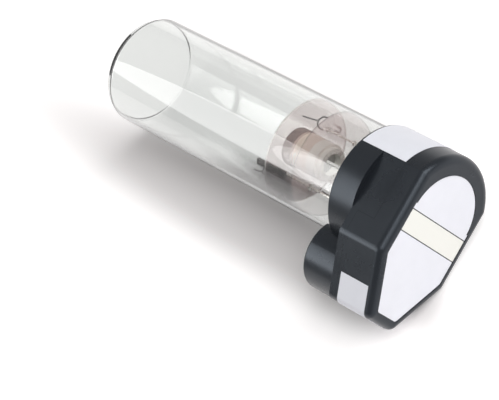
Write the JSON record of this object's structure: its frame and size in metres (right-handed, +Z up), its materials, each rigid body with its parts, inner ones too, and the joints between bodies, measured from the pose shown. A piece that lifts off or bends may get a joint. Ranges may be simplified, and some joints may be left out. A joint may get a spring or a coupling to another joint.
{
  "type": "hollow cathode lamp",
  "caption": "Hollow cathode lamp lying on its side: long clear glass tube with a flat end window, mica discs and cathode inside, in a dark two-shell plug-in housing.",
  "frame": {"origin": "centre of the bounding box on the surface that the lamp lies on", "axes": "+X along the glass tube towards its end window, which lies lower by about 1.3 degrees, +Z up, +Y the side to which the connector lobe points"},
  "size_m": [0.1872, 0.0784, 0.0567],
  "materials": {
    "tube_glass": "clear drawn borosilicate glass",
    "window_glass": "polished clear window glass",
    "stem_glass": "clear pressed stem glass",
    "housing_plastic": "satin charcoal moulded plastic",
    "label_white": "satin printed film",
    "cement": "pale silicone cement",
    "connector_plastic": "moulded insulating plastic",
    "contact_metal": "plated contact pins",
    "board_laminate": "glass fibre laminate",
    "resistor_body": "lacquered resistor bodies",
    "wire_insulation": "red wire insulation",
    "wire_insulation_dark": "black wire insulation",
    "mica": "clear mica sheet with a faint pink tint",
    "ceramic": "beige ceramic",
    "cathode_metal": "turned cathode metal",
    "dark_metal": "dark fired sheet metal",
    "lead_metal": "drawn nickel wire"
  },
  "bodies": {
    "root": {"glass_tube": "tube_glass", "end_window": "window_glass", "glass_stem": "stem_glass", "front_shell": "housing_plastic", "rear_shell": "housing_plastic", "tube_cement": "cement", "face_label": "label_white", "ring_label": "label_white", "lobe_label": "label_white", "connector_block": "connector_plastic", "contact_pins": "contact_metal", "code_board": "board_laminate", "code_resistors": "resistor_body", "cathode_wire": "wire_insulation_dark", "anode_wire": "wire_insulation", "rear_mica_disc": "mica", "front_mica_disc": "mica", "shield_sleeve": "ceramic", "cathode_cup": "cathode_metal", "cathode_lead": "lead_metal", "anode_ring": "dark_metal", "anode_lead": "lead_metal", "anode_lead_bead": "ceramic", "stem_collar": "dark_metal", "support_rods": "lead_metal", "rod_clips": "lead_metal", "rear_disc_springs": "lead_metal", "front_disc_springs": "lead_metal", "getter": "dark_metal"}
  },
  "joints": []
}
